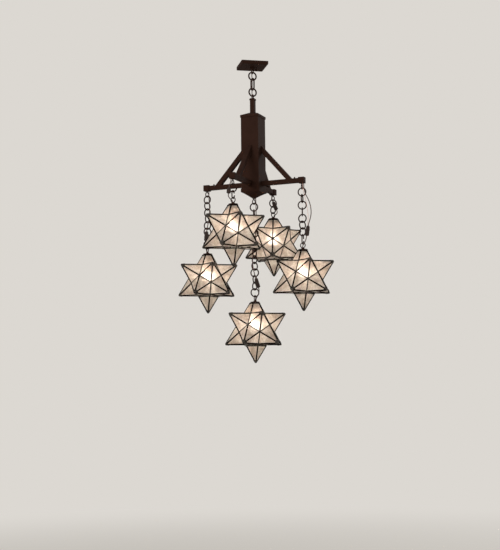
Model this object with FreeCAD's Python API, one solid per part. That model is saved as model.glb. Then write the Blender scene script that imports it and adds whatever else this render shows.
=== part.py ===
"""A star chandelier: five stained glass stars with twelve points each, hung on ring chains from a square
column with four braced arms, which itself hangs on three rings from a square ceiling plate.

Millimetres, +Z up. The origin is the centre of the ceiling plate's top, on the ceiling. +X runs along the
right arm and +Y along the far arm, as the photograph shows them.
"""
import FreeCAD, Part
import itertools
import math
import os

from FreeCAD import Rotation, Vector

# Clearances
SEAT_GAP = 0.3          # between pieces that hang, rest or move on each other
HINGE_FIT = 0.06        # radial, between the door's hinge rod and its knuckles
CUT_OVERRUN = 2.0       # how far a cutter runs past what it cuts
AT_HEIGHT = 0.01        # an edge this near to a height counts as lying at it

# Ceiling plate: a shallow square pan, open against the ceiling
PLATE_SIDE = 116.0
PLATE_HEIGHT = 15.5
PLATE_WALL = 1.8
PLATE_BEVEL = 2.5
PLATE_TURN = 35.1       # degrees from the arms, as the chain has let the body turn

# Crossbar screwed to the ceiling box, inside the plate
STRAP_LENGTH = 104.0
STRAP_WIDTH = 20.0
STRAP_THICKNESS = 2.5
STRAP_HOLE_CIRCLE = 88.9
STRAP_HOLE_RADIUS = 2.6

# Loop under the ceiling plate, on a threaded nipple that goes up through the crossbar
NIPPLE_RADIUS = 4.8
NIPPLE_NUT_RADIUS = 9.0
NIPPLE_NUT_HEIGHT = 3.2
COLLAR_RADIUS = 10.5
COLLAR_HEIGHT = 9.5
COLLAR_NECK_RADIUS = 9.3
CANOPY_LOOP_OUTER = 23.2
CANOPY_LOOP_WIRE = 5.0
KNOB_OFFSET = 19.0
KNOB_HEAD_RADIUS = 4.4
KNOB_STEM_RADIUS = 2.2
KNOB_DROP = 15.0
KNOB_ANGLE = 52.0       # degrees, seen from above

# Three rings between the ceiling plate and the column
TOP_RING_OUTER = 40.5
TOP_RING_WIRE = 6.3
TOP_LINK_HEIGHT = 56.7
TOP_LINK_WIDTH = 27.5
TOP_LINK_WIRE = 6.3
TOP_PLANES = (22.0, -52.0, 26.0)     # degrees, each ring's plane
TOP_LOOP_PLANE = -64.0
STEM_LOOP_PLANE = -64.0

# Stem: square tube between the rings and the column
STEM_LOOP_OUTER = 20.0
STEM_LOOP_WIRE = 5.0
STEM_LOOP_SUNK = 1.6
STEM_COLLAR_SIDE = 22.5
STEM_COLLAR_HEIGHT = 8.5
STEM_COLLAR_BEVEL = 3.0
STEM_SIDE = 19.05
STEM_WALL = 1.6
STEM_LENGTH = 55.0

# Column: square tube with a low roof, a band at each end and a drawn-in cover below
COLUMN_SIDE = 80.0
COLUMN_WALL = 2.5
COLUMN_LENGTH = 336.0
BAND_SIDE = 84.6
BAND_HEIGHT = 10.0
FOOT_BAND_HEIGHT = 16.0
ROOF_HEIGHT = 15.0
ROOF_WALL = 2.0
COVER_HEIGHT = 24.5
COVER_TIP_SIDE = 9.0
COVER_WALL = 3.0
COVER_DEPTH_SHARES = (0.0, 0.14, 0.50, 0.78, 1.0)
COVER_SPREAD_SHARES = (1.0, 0.80, 0.44, 0.19, 0.0)

# Arms, struts and end cubes
ARM_SIDE = 19.05
ARM_WALL = 1.6
ARM_RISE = 37.0         # from the column's bottom up to the arms' centre line
CUBE_SIDE = 25.4
ARM_REACH = 220.7       # from the column's axis to the cubes' centres
STRUT_SIDE = 19.05
STRUT_WALL = 1.6
STRUT_FOOT = 164.0      # where its centre line meets the arm's top
STRUT_TOP_RISE = 140.0  # from the arm's top to where its centre line meets the column
SET_SCREW_PLACE = 188.0
SET_SCREW_STEM_RADIUS = 1.8
SET_SCREW_HEAD_RADIUS = 3.3
SET_SCREW_STEM = 2.4
SET_SCREW_SEAT_DEPTH = 1.2

# Screw eyes that carry the chains
EYE_OUTER = 24.0
EYE_WIRE = 4.0
EYE_SHANK_RADIUS = 3.0
EYE_DROP = 3.6          # from the cube or cover to the top of the eye
EYE_SHANK_SUNK = 7.0
EYE_FLANGE_RADIUS = 5.0
EYE_FLANGE_HEIGHT = 2.0

# Chain rings and the open hook links of two chains
RING_OUTER = 39.0
RING_WIRE = 5.2
HOOK_WIDTH = 22.0
HOOK_WIRE = 4.8
HOOK_HEIGHT_NEAR = 37.9
HOOK_HEIGHT_RIGHT = 44.9
HOOK_GAP = 9.5          # the mouth, above the hook's foot
HOOK_FLARE = 3.4        # how far the free end stands out
HOOK_FLARE_RISE = 4.0

# Star
STAR_RADIUS = 143.5     # from the centre to a point's end
CAME_RADIUS = 3.0
JOINT_RADIUS = 5.2      # solder where three lines cross
JOINT_START = 4.18      # from a crossing to where its bars start, inside the solder
RIM_JOINT_RADIUS = 3.95 # solder at the corners under the cap, which the cap sits just over
RIM_JOINT_START = 2.42
TIP_LENGTH = 12.1       # solid solder at a point's end, along its axis
TIP_END_RADIUS = 3.45
TIP_COVER = 0.4         # how far it stands out over the lines in it
TIP_START = 9.6         # from a point's end to where its bars start, inside the solder
TIP_PANE_GAP = 1.1
PANE_THICKNESS = 2.4
PANE_GAP = 0.35
TOP_CUT_LENGTH = 34.45  # what the cap takes off the top point, from its end down to the rim
DOOR_GAP = 1.05
KNUCKLE_RADIUS = 4.5
KNUCKLE_LUG_RADIUS = 2.1
KNUCKLE_LENGTH = 9.0
KNUCKLE_SHARES = (0.26, 0.74)   # places along the hinge rod
LATCH_RING_OUTER = 8.6
LATCH_RING_WIRE = 1.3
LATCH_PIN_RADIUS = 0.7
LATCH_PIN_DROP = 6.0

# Cap, loop and lampholder of a star
CAP_RADIUS = 20.0
CAP_HEIGHT = 2.8
CAP_EDGE = 1.0
CAP_COLLAR_RADIUS = 7.2
CAP_COLLAR_TOP_RADIUS = 6.6
CAP_COLLAR_HEIGHT = 5.0
STAR_LOOP_OUTER = 25.0
STAR_LOOP_WIRE = 4.0
STAR_LOOP_SUNK = 0.8
SOCKET_RADIUS = 10.5
SOCKET_LENGTH = 38.0
SOCKET_NIPPLE_RADIUS = 4.0
SOCKET_NIPPLE_LENGTH = 5.0
BULB_BASE_RADIUS = 6.6
BULB_BASE_LENGTH = 16.0
BULB_RADIUS = 20.0
BULB_LENGTH = 72.0
BULB_NECK_SHARE = 0.16
BULB_SHOULDER_ANGLE = 55.0      # degrees above the globe's middle where its shoulder starts

# Wiring
CORD_RADIUS = 1.9
CORD_START_GAP = 0.3
CORD_LEAVE = 9.0        # the straight stretch out of the arm or cover
CORD_ENTER = 8.0        # the straight stretch into a star's collar
CORD_ENTER_OFFSET = 4.5     # from the middle of the loop's wire to the cord beside it
CORD_RUN_SHARE = 0.45
SPLICE_WIDTH = 19.0
SPLICE_DEPTH = 11.0
SPLICE_CORNER = 3.0
SPLICE_LEAD = 8.0       # the straight stretch of cord at each end of the splice
EARTH_WIRE_RADIUS = 0.6     # the thin bare wire beside one star's cord
EARTH_WIRE_OFFSET = 3.5     # from the cord to the wire at the top of the splice

# The view that planes and routes are set out in: degrees round from the arms
VIEW_TURN = 22.8

# Each hanging star. Planes are degrees from the view's plane: the rings from the top down, the open hook link
# (height 0 is none), the screw eye and the star's own loop. The turn is that of the nearest upper point, in
# degrees to the right. The latch is below one of the upper points, counted to the right from the nearest.
STARS = {
    "right": {
        "arm": 0, "planes": (-20.0, -104.0, -6.0, -92.0, -25.0, 42.0, -46.0), "hook": HOOK_HEIGHT_RIGHT,
        "hook_plane": 66.0, "eye": -106.0, "loop": -20.0, "turn": 11.4, "latch": 4,
    },
    "far": {
        "arm": 90, "planes": (27.0, -52.0), "hook": 0.0, "hook_plane": 0.0, "eye": -52.0, "loop": 40.0,
        "turn": 32.4, "latch": 3,
    },
    "left": {
        "arm": 180, "planes": (-36.0, 49.0, -43.0, 62.0, -34.0, 32.0, -62.0, 20.0), "hook": 0.0,
        "hook_plane": 0.0, "eye": 48.0, "loop": -70.0, "turn": 11.8, "latch": 1,
    },
    "near": {
        "arm": 270, "planes": (-25.0,), "hook": HOOK_HEIGHT_NEAR, "hook_plane": 60.0, "eye": -112.0,
        "loop": -35.0, "turn": 14.7, "latch": 4,
    },
    "centre": {
        "arm": None,
        "planes": (-20.0, -96.0, -4.0, -90.0, -6.0, -84.0, -12.0,
                   62.0, -54.0, 47.0, -18.0, 64.0, -56.0, 15.0),
        "hook": 0.0, "hook_plane": 0.0, "eye": 52.0, "loop": 108.0, "turn": 13.3, "latch": 4,
    },
}

# Routes of the cords, by hand: each place is to the right, towards the viewer and up from the point on the
# chain's axis at the arms' centre line, or from the ceiling for the supply cord. A cord leaves its arm at the
# first pair, and the joint in it lies between the splice's two places. The earth wire leaves beside it.
ROUTES = {
    "right": {
        "leave": (7.5, 8.0),
        "above": ((8.0, 8.8, -38.0), (13.0, 11.5, -60.0), (25.5, 15.0, -84.0), (34.5, 17.0, -112.0),
                  (37.0, 19.0, -142.0), (32.0, 20.5, -168.0)),
        "splice": ((23.5, 21.0, -196.5), (15.7, 20.8, -241.0)),
        "below": ((11.0, 15.0, -260.0), (5.8, 9.0, -270.5)),
        "earth_leave": (3.2, 9.8),
        "earth": ((3.9, 10.6, -36.0), (6.5, 12.4, -56.0), (12.3, 13.6, -78.0), (18.0, 14.0, -104.0),
                  (21.8, 16.5, -132.0), (23.6, 19.0, -156.0), (22.8, 20.5, -174.5)),
    },
    "far": {
        "leave": (-6.0, 8.5),
        "above": ((-5.0, 12.0, -28.0),),
        "splice": ((-0.5, 21.0, -45.0), (15.0, 25.5, -84.0)),
        "below": ((16.0, 15.5, -100.0),),
    },
    "left": {
        "leave": (7.5, 7.0),
        "above": ((8.0, 12.8, -42.0), (9.0, 18.5, -66.0), (10.5, 21.0, -94.0), (10.0, 22.0, -122.0),
                  (6.0, 22.5, -148.0), (1.5, 22.5, -170.0)),
        "splice": ((-2.5, 23.0, -191.0), (-6.0, 21.5, -235.5)),
        "below": ((-10.5, 15.0, -254.0), (-8.0, 7.6, -265.0)),
    },
    "near": {
        "leave": (-7.5, 7.8),
        "above": ((-11.0, 10.5, -33.0),),
        "splice": ((-15.5, 12.5, -50.0), (-18.5, 13.0, -77.0)),
        "below": ((-17.0, 12.0, -92.0), (-9.5, 8.5, -100.0)),
    },
    "centre": {
        "leave": (8.0, 7.0),
        "above": ((8.8, 8.6, -84.0), (9.0, 11.0, -108.0), (9.0, 11.5, -136.0), (7.5, 13.0, -164.0),
                  (6.5, 17.5, -191.0), (6.0, 22.0, -218.0), (4.0, 22.5, -246.0), (-0.5, 20.5, -275.0),
                  (-6.0, 19.0, -304.0), (-9.0, 18.5, -332.0), (-7.5, 18.5, -358.0), (-3.0, 21.5, -382.0)),
        "splice": ((4.0, 24.5, -406.5), (15.5, 27.0, -449.5)),
        "below": ((17.5, 17.0, -467.0), (11.5, 6.5, -481.0)),
    },
    "supply": {
        "leave": (-2.6, 6.8),
        "above": ((-2.4, 7.4, -50.0), (-2.0, 7.8, -68.0), (-0.8, 8.8, -90.0),
                  (-2.0, 8.2, -112.0), (-2.8, 7.9, -134.0)),
        "enter": (-2.8, 7.7),
    },
}

# Worked-out sizes and heights
TOP_RING_RADIUS = (TOP_RING_OUTER - TOP_RING_WIRE) / 2
TOP_LINK_HALF = (TOP_LINK_HEIGHT - TOP_LINK_WIRE) / 2
RING_RADIUS = (RING_OUTER - RING_WIRE) / 2
EYE_RADIUS = (EYE_OUTER - EYE_WIRE) / 2
STAR_LOOP_RADIUS = (STAR_LOOP_OUTER - STAR_LOOP_WIRE) / 2
STEM_LOOP_RADIUS = (STEM_LOOP_OUTER - STEM_LOOP_WIRE) / 2
CANOPY_LOOP_RADIUS = (CANOPY_LOOP_OUTER - CANOPY_LOOP_WIRE) / 2
COLLAR_BOTTOM = -PLATE_HEIGHT - COLLAR_HEIGHT
CANOPY_LOOP_CENTRE = COLLAR_BOTTOM - CANOPY_LOOP_RADIUS


def pitch(upper_radius, upper_wire, lower_radius, lower_wire):
    """Drop from the centre of a ring down to the centre of the ring that hangs in it."""
    return upper_radius + lower_radius - (upper_wire + lower_wire) / 2 - SEAT_GAP


UPPER_RING_Z = (CANOPY_LOOP_CENTRE
                - pitch(CANOPY_LOOP_RADIUS, CANOPY_LOOP_WIRE, TOP_RING_RADIUS, TOP_RING_WIRE))
MIDDLE_LINK_Z = UPPER_RING_Z - pitch(TOP_RING_RADIUS, TOP_RING_WIRE, TOP_LINK_HALF, TOP_LINK_WIRE)
LOWER_RING_Z = MIDDLE_LINK_Z - pitch(TOP_LINK_HALF, TOP_LINK_WIRE, TOP_RING_RADIUS, TOP_RING_WIRE)
STEM_LOOP_Z = LOWER_RING_Z - pitch(TOP_RING_RADIUS, TOP_RING_WIRE, STEM_LOOP_RADIUS, STEM_LOOP_WIRE)
COLLAR_TOP = STEM_LOOP_Z - STEM_LOOP_OUTER / 2 + STEM_LOOP_SUNK
ROOF_TOP = COLLAR_TOP - STEM_COLLAR_HEIGHT - STEM_LENGTH
COLUMN_TOP = ROOF_TOP - ROOF_HEIGHT
COLUMN_BOTTOM = COLUMN_TOP - COLUMN_LENGTH
ARM_Z = COLUMN_BOTTOM + ARM_RISE
COVER_BOTTOM = COLUMN_BOTTOM - COVER_HEIGHT

# Heights in a star, from its centre
TOP_CUT_HEIGHT = STAR_RADIUS - TOP_CUT_LENGTH
CAP_BOTTOM = TOP_CUT_HEIGHT + RIM_JOINT_RADIUS + SEAT_GAP
CAP_TOP = CAP_BOTTOM + CAP_HEIGHT
STAR_LOOP_Z = CAP_TOP + CAP_COLLAR_HEIGHT + STAR_LOOP_OUTER / 2 - STAR_LOOP_SUNK
SOCKET_TOP = CAP_BOTTOM - SOCKET_NIPPLE_LENGTH
SOCKET_BOTTOM = SOCKET_TOP - SOCKET_LENGTH

# Star geometry: its points' ends are the corners of an icosahedron, and its lines cross at the corners of a
# dodecahedron, whose twelve faces carry the points
FIFTH = 360 / 5
GOLDEN = (1 + math.sqrt(5)) / 2
FACE_HEIGHT = STAR_RADIUS / math.sqrt(5)
TIP_CIRCLE = 2 * FACE_HEIGHT
POINT_HEIGHT = STAR_RADIUS - FACE_HEIGHT
SHORT_LINE = STAR_RADIUS / (GOLDEN ** 2 * math.sin(math.radians(FIFTH)))
CROSSING_RADIUS = SHORT_LINE * GOLDEN * math.sqrt(3) / 2
BASE_CIRCLE = SHORT_LINE / (2 * math.sin(math.pi / 5))
NEIGHBOUR_REACH = SHORT_LINE * (GOLDEN ** 2 + GOLDEN ** 3) / 2
OPPOSITE_REACH = (SHORT_LINE * (2 * GOLDEN + 1) + 2 * STAR_RADIUS) / 2
DOOR_BASE = -FACE_HEIGHT - 2 * CAME_RADIUS - DOOR_GAP
PANE_INSET = CAME_RADIUS + PANE_GAP


def polar(radius, degrees, z=0.0):
    return Vector(radius * math.cos(math.radians(degrees)), radius * math.sin(math.radians(degrees)), z)


def box(x, y, z, centre):
    """A box of these sides round a centre."""
    solid = Part.makeBox(x, y, z)
    solid.translate(centre - Vector(x / 2, y / 2, z / 2))
    return solid


def rod(start, end, radius):
    return Part.makeCylinder(radius, (end - start).Length, start, end - start)


def turned(shape, degrees, centre=Vector(), axis=Vector(0, 0, 1)):
    copy = shape.copy()
    copy.rotate(centre, axis, degrees)
    return copy


def ring(radius, wire, z, plane):
    """An upright ring on the Z axis, whose plane is turned by so many degrees from the view's plane."""
    return Part.makeTorus(radius, wire / 2, Vector(0, 0, z), plane_normal(plane))


def plane_normal(plane):
    return polar(1, VIEW_TURN + 90 + plane)


def swept(edges, radius):
    """A round bar along a smooth path, whose edges come in their order."""
    first = edges[0]
    begin = first.FirstParameter
    circle = Part.makeCircle(radius, first.valueAt(begin), first.tangentAt(begin))
    return Part.Wire(edges).makePipeShell([Part.Wire(circle)], True, False)


def square_tube(side, wall, length):
    """A square tube along +Z from the origin."""
    outer = box(side, side, length, Vector(0, 0, length / 2))
    inner = box(side - 2 * wall, side - 2 * wall, length + 2 * CUT_OVERRUN, Vector(0, 0, length / 2))
    return outer.cut(inner)


def square_wire(side, z):
    h = side / 2
    corners = [Vector(-h, -h, z), Vector(h, -h, z), Vector(h, h, z), Vector(-h, h, z)]
    return Part.makePolygon(corners + corners[:1])


def export(name, solids):
    """Writes one node. It may hold several separate solids."""
    solids = solids if isinstance(solids, list) else [solids]
    shape = solids[0] if len(solids) == 1 else Part.makeCompound(solids)
    bad = [s for s in shape.Solids if not s.isValid() or s.Volume <= 0]
    print(f"{name}: {len(shape.Solids)} solids, {shape.Volume / 1000:.2f} cm3, {'BAD' if bad else 'valid'}")
    shape.exportStep(f"parts/{name}.step")


def ceiling_plate():
    half = Vector(0, 0, -PLATE_HEIGHT / 2)
    outer = box(PLATE_SIDE, PLATE_SIDE, PLATE_HEIGHT, half)
    lower = [e for e in outer.Edges if abs(e.CenterOfMass.z + PLATE_HEIGHT) < AT_HEIGHT]
    outer = outer.makeChamfer(PLATE_BEVEL, lower)
    side = PLATE_SIDE - 2 * PLATE_WALL
    inner = box(side, side, PLATE_HEIGHT, half + Vector(0, 0, PLATE_WALL + PLATE_BEVEL / 2))
    bore = rod(Vector(0, 0, -PLATE_HEIGHT - CUT_OVERRUN), Vector(), NIPPLE_RADIUS + SEAT_GAP)
    return turned(outer.cut(inner).cut(bore), PLATE_TURN)


def mounting_strap():
    strap = box(STRAP_LENGTH, STRAP_WIDTH, STRAP_THICKNESS, Vector(0, 0, -STRAP_THICKNESS / 2))
    down = Vector(0, 0, -STRAP_THICKNESS - CUT_OVERRUN)
    for side in (-1, 1):
        place = Vector(side * STRAP_HOLE_CIRCLE / 2, 0, 0)
        strap = strap.cut(rod(place + down, place + Vector(0, 0, CUT_OVERRUN), STRAP_HOLE_RADIUS))
    strap = strap.cut(rod(down, Vector(0, 0, CUT_OVERRUN), NIPPLE_RADIUS + SEAT_GAP))
    return turned(strap, PLATE_TURN)


def canopy_loop():
    """Nipple, collar and loop in one casting, with its nut and the knob beside it."""
    collar = rod(Vector(0, 0, COLLAR_BOTTOM + COLLAR_HEIGHT / 2), Vector(0, 0, -PLATE_HEIGHT), COLLAR_RADIUS)
    neck = Part.makeCone(COLLAR_NECK_RADIUS, COLLAR_RADIUS, COLLAR_HEIGHT / 2, Vector(0, 0, COLLAR_BOTTOM))
    top = -STRAP_THICKNESS - SEAT_GAP
    nipple = rod(Vector(0, 0, -PLATE_HEIGHT), Vector(), NIPPLE_RADIUS)
    loop = ring(CANOPY_LOOP_RADIUS, CANOPY_LOOP_WIRE, CANOPY_LOOP_CENTRE, TOP_LOOP_PLANE)
    nut = rod(Vector(0, 0, top - NIPPLE_NUT_HEIGHT), Vector(0, 0, top), NIPPLE_NUT_RADIUS)
    nut = nut.cut(rod(Vector(0, 0, top - NIPPLE_NUT_HEIGHT), Vector(0, 0, top), NIPPLE_RADIUS + HINGE_FIT))
    body = collar.fuse([neck, nipple, loop]).removeSplitter()
    place = polar(KNOB_OFFSET, KNOB_ANGLE, -PLATE_HEIGHT)
    head = place - Vector(0, 0, KNOB_DROP - KNOB_HEAD_RADIUS)
    knob = rod(head, place, KNOB_STEM_RADIUS).fuse(Part.makeSphere(KNOB_HEAD_RADIUS, head))
    return [body, nut, knob]


def oval_link(height, width, wire, z, plane):
    """A closed link: two half rounds joined by straight sides."""
    r = (width - wire) / 2
    h = (height - width) / 2
    top = Part.Arc(Vector(-r, 0, h), Vector(0, 0, h + r), Vector(r, 0, h)).toShape()
    foot = Part.Arc(Vector(r, 0, -h), Vector(0, 0, -h - r), Vector(-r, 0, -h)).toShape()
    solids = [swept([arc], wire / 2) for arc in (top, foot)]
    solids += [rod(Vector(side, 0, -h), Vector(side, 0, h), wire / 2) for side in (-r, r)]
    link = solids[0].fuse(solids[1:]).removeSplitter()
    link.translate(Vector(0, 0, z))
    return turned(link, VIEW_TURN + plane)


def hook_link(height, z, plane):
    """A link open on one side, whose free end stands out a little above its round foot."""
    wire = HOOK_WIRE
    r = (HOOK_WIDTH - wire) / 2
    h = (height - HOOK_WIDTH) / 2
    top = Part.Arc(Vector(r, 0, h), Vector(0, 0, h + r), Vector(-r, 0, h)).toShape()
    foot = Part.Arc(Vector(-r, 0, -h), Vector(0, 0, -h - r), Vector(r, 0, -h)).toShape()
    solids = [swept([arc], wire / 2) for arc in (top, foot)]
    solids.append(rod(Vector(-r, 0, -h), Vector(-r, 0, h), wire / 2))
    end = Vector(r + HOOK_FLARE, 0, -h + HOOK_FLARE_RISE)
    upper_end = Vector(r, 0, end.z + HOOK_GAP)
    if upper_end.z < h:
        solids.append(rod(Vector(r, 0, h), upper_end, wire / 2))
    solids.append(rod(Vector(r, 0, -h), end, wire / 2))
    solids += [Part.makeSphere(wire / 2, Vector(r, 0, -h)), Part.makeSphere(wire / 2, end)]
    link = solids[0].fuse(solids[1:]).removeSplitter()
    link.translate(Vector(0, 0, z))
    return turned(link, VIEW_TURN + plane)


def stem():
    loop = ring(STEM_LOOP_RADIUS, STEM_LOOP_WIRE, STEM_LOOP_Z, STEM_LOOP_PLANE)
    middle = Vector(0, 0, COLLAR_TOP - STEM_COLLAR_HEIGHT / 2)
    collar = box(STEM_COLLAR_SIDE, STEM_COLLAR_SIDE, STEM_COLLAR_HEIGHT, middle)
    upper = [e for e in collar.Edges if abs(e.CenterOfMass.z - COLLAR_TOP) < AT_HEIGHT]
    collar = collar.makeChamfer(STEM_COLLAR_BEVEL, upper).fuse(loop).removeSplitter()
    tube = square_tube(STEM_SIDE, STEM_WALL, STEM_LENGTH)
    tube.translate(Vector(0, 0, ROOF_TOP))
    return [collar, tube]


def column():
    tube = square_tube(COLUMN_SIDE, COLUMN_WALL, COLUMN_LENGTH)
    tube.translate(Vector(0, 0, COLUMN_BOTTOM))
    roof = Part.makeLoft([square_wire(BAND_SIDE, COLUMN_TOP), square_wire(STEM_SIDE, ROOF_TOP)], True, True)
    hollow_foot = square_wire(COLUMN_SIDE - 2 * COLUMN_WALL, COLUMN_TOP)
    bore = STEM_SIDE - 2 * STEM_WALL
    hollow = Part.makeLoft([hollow_foot, square_wire(bore, ROOF_TOP - ROOF_WALL)], True, True)
    passage = box(bore, bore, 2 * ROOF_WALL, Vector(0, 0, ROOF_TOP - ROOF_WALL))
    roof = roof.cut(hollow.fuse(passage))
    bands = []
    for z, height in ((COLUMN_TOP - BAND_HEIGHT, BAND_HEIGHT), (COLUMN_BOTTOM, FOOT_BAND_HEIGHT)):
        band = square_tube(BAND_SIDE, (BAND_SIDE - COLUMN_SIDE) / 2, height)
        band.translate(Vector(0, 0, z))
        bands.append(band)
    return [tube, roof] + bands


def bottom_cover():
    """A square cover that draws in to a small foot, hollow, with a bore for the screw eye."""
    def skin(start_side, end_side, height):
        wires = []
        for depth, spread in zip(COVER_DEPTH_SHARES, COVER_SPREAD_SHARES):
            side = end_side + (start_side - end_side) * spread
            wires.append(square_wire(side, COLUMN_BOTTOM - depth * height))
        return Part.makeLoft(wires, True, True)
    outer = skin(BAND_SIDE, COVER_TIP_SIDE, COVER_HEIGHT)
    inner_height = COVER_HEIGHT - EYE_SHANK_SUNK - COVER_WALL
    inner = skin(COLUMN_SIDE - 2 * COVER_WALL, COVER_TIP_SIDE - COVER_WALL, inner_height)
    return outer.cut(inner).cut(eye_bore(COVER_BOTTOM))


def eye_bore(z):
    """The hole that an eye's shank goes up into, from a face at this height."""
    end = Vector(0, 0, z + EYE_SHANK_SUNK + SEAT_GAP)
    return rod(Vector(0, 0, z - CUT_OVERRUN), end, EYE_SHANK_RADIUS + SEAT_GAP / 2)


def screw_eye(z, plane):
    """A screw eye under a face at this height."""
    loop = ring(EYE_RADIUS, EYE_WIRE, z - EYE_DROP - EYE_OUTER / 2, plane)
    foot = Vector(0, 0, z - EYE_DROP - EYE_WIRE / 2)
    shank = rod(foot, Vector(0, 0, z + EYE_SHANK_SUNK), EYE_SHANK_RADIUS)
    flange = rod(Vector(0, 0, z - EYE_FLANGE_HEIGHT), Vector(0, 0, z), EYE_FLANGE_RADIUS)
    return loop.fuse([shank, flange]).removeSplitter()


def arm():
    """One arm along +X, from the column to its end cube."""
    start = COLUMN_SIDE / 2
    tube = square_tube(ARM_SIDE, ARM_WALL, ARM_REACH - CUBE_SIDE / 2 - start)
    tube.rotate(Vector(), Vector(0, 1, 0), 90)
    tube.translate(Vector(start, 0, ARM_Z))
    top = Vector(SET_SCREW_PLACE, 0, ARM_Z + ARM_SIDE / 2 + CUT_OVERRUN)
    foot = top - Vector(0, 0, ARM_WALL + 2 * CUT_OVERRUN)
    return tube.cut(rod(foot, top, SET_SCREW_STEM_RADIUS + SEAT_GAP / 2))


def end_cube():
    cube = box(CUBE_SIDE, CUBE_SIDE, CUBE_SIDE, Vector(0, 0, ARM_Z)).cut(eye_bore(ARM_Z - CUBE_SIDE / 2))
    cube.translate(Vector(ARM_REACH, 0, 0))
    return cube


def set_screw():
    z = ARM_Z + ARM_SIDE / 2
    foot = Vector(SET_SCREW_PLACE, 0, z - SET_SCREW_SEAT_DEPTH)
    head = Vector(SET_SCREW_PLACE, 0, z + SET_SCREW_STEM + SET_SCREW_HEAD_RADIUS / 2)
    stem = rod(foot, head, SET_SCREW_STEM_RADIUS)
    return stem.fuse(Part.makeSphere(SET_SCREW_HEAD_RADIUS, head)).removeSplitter()


def strut():
    """One strut from the column's face down to the arm's top, cut flat at both ends."""
    start = Vector(COLUMN_SIDE / 2, 0, ARM_Z + ARM_SIDE / 2 + STRUT_TOP_RISE)
    end = Vector(STRUT_FOOT, 0, ARM_Z + ARM_SIDE / 2)
    run = end - start
    overrun = STRUT_SIDE
    tube = square_tube(STRUT_SIDE, STRUT_WALL, run.Length + 2 * overrun)
    tube.translate(Vector(0, 0, -overrun))
    tube.rotate(Vector(), Vector(0, 1, 0), 180 - math.degrees(math.atan2(run.x, -run.z)))
    tube.translate(start)
    keep = box(2 * STRUT_FOOT, 2 * STRUT_SIDE, 2 * STRUT_TOP_RISE,
               Vector(start.x + STRUT_FOOT, 0, end.z + STRUT_TOP_RISE))
    return tube.common(keep)


def star_tips():
    """The twelve points' ends: the top one, five round it, five lower ones half a step round, the last."""
    tips = [Vector(0, 0, STAR_RADIUS)]
    tips += [polar(TIP_CIRCLE, FIFTH * k, FACE_HEIGHT) for k in range(5)]
    tips += [polar(TIP_CIRCLE, FIFTH * k + FIFTH / 2, -FACE_HEIGHT) for k in range(5)]
    return tips + [Vector(0, 0, -STAR_RADIUS)]


def star_crossings(tips):
    """Where the star's lines cross, one inside each triple of neighbouring points."""
    found = {}
    for triple in itertools.combinations(range(len(tips)), 3):
        if all((tips[p] - tips[q]).Length < NEIGHBOUR_REACH for p, q in itertools.combinations(triple, 2)):
            middle = tips[triple[0]] + tips[triple[1]] + tips[triple[2]]
            found[triple] = middle * (CROSSING_RADIUS / middle.Length)
    return found


def at_height(start, end, z):
    return start + (end - start) * ((z - start.z) / (end.z - start.z))


def base_corners(z):
    """The bottom point's five corners, at any height between its base and its end."""
    radius = BASE_CIRCLE * (STAR_RADIUS + z) / POINT_HEIGHT
    return [polar(radius, FIFTH * k, z) for k in range(5)]


def hinge_line(latch):
    """The hinge rod's ends: the side of the bottom point's base that faces away from its latch."""
    corners = base_corners(DOOR_BASE)
    return corners[(latch + 2) % 5], corners[(latch + 3) % 5]


def latch_place(latch):
    """The centre of the latch's ring, just outside the bottom point's latched corner."""
    corner = base_corners(DOOR_BASE)[latch]
    reach = Vector(corner.x, corner.y, 0).Length + CAME_RADIUS + LATCH_RING_OUTER / 2 - LATCH_RING_WIRE
    return polar(reach, FIFTH * latch, DOOR_BASE)


def bar(start, end, start_trim, end_trim):
    """A came bar between two joints, which starts and ends inside their solder."""
    along = (end - start).normalize()
    return rod(start + along * start_trim, end - along * end_trim, CAME_RADIUS)


def tip_solder(tip):
    """The solid end of a point: a cone just over the five lines that meet there."""
    outward = tip * (1 / tip.Length)
    slope = BASE_CIRCLE / POINT_HEIGHT
    wide = slope * TIP_LENGTH + CAME_RADIUS * math.hypot(1, slope) + TIP_COVER
    return Part.makeCone(wide, TIP_END_RADIUS, TIP_LENGTH, tip - outward * TIP_LENGTH, outward)


def star_lines(tips, crossings):
    """The star's lines as bars from joint to joint, without the bottom point's, and its solder."""
    bottom = len(tips) - 1
    solids, rim = [], []
    for i, j in itertools.combinations(range(len(tips)), 2):
        if not NEIGHBOUR_REACH < (tips[i] - tips[j]).Length < OPPOSITE_REACH:
            continue
        start, end = tips[i], tips[j]
        along = (end - start).normalize()
        near, far = start + along * SHORT_LINE * GOLDEN, end - along * SHORT_LINE * GOLDEN
        solids.append(bar(near, far, JOINT_START, JOINT_START))
        if i == 0:
            cut = at_height(start, near, TOP_CUT_HEIGHT)
            rim.append(cut)
            solids.append(bar(cut, near, RIM_JOINT_START, JOINT_START))
        else:
            solids.append(bar(start, near, TIP_START, JOINT_START))
        if j != bottom:
            solids.append(bar(far, end, JOINT_START, TIP_START))
    rim.sort(key=lambda corner: math.atan2(corner.y, corner.x))
    for k, corner in enumerate(rim):
        solids.append(bar(corner, rim[k - 1], RIM_JOINT_START, RIM_JOINT_START))
        solids.append(Part.makeSphere(RIM_JOINT_RADIUS, corner))
    solids += [tip_solder(tip) for tip in tips[1:-1]]
    solids += [Part.makeSphere(JOINT_RADIUS, crossing) for crossing in crossings.values()]
    return solids[0].fuse(solids[1:])


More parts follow.
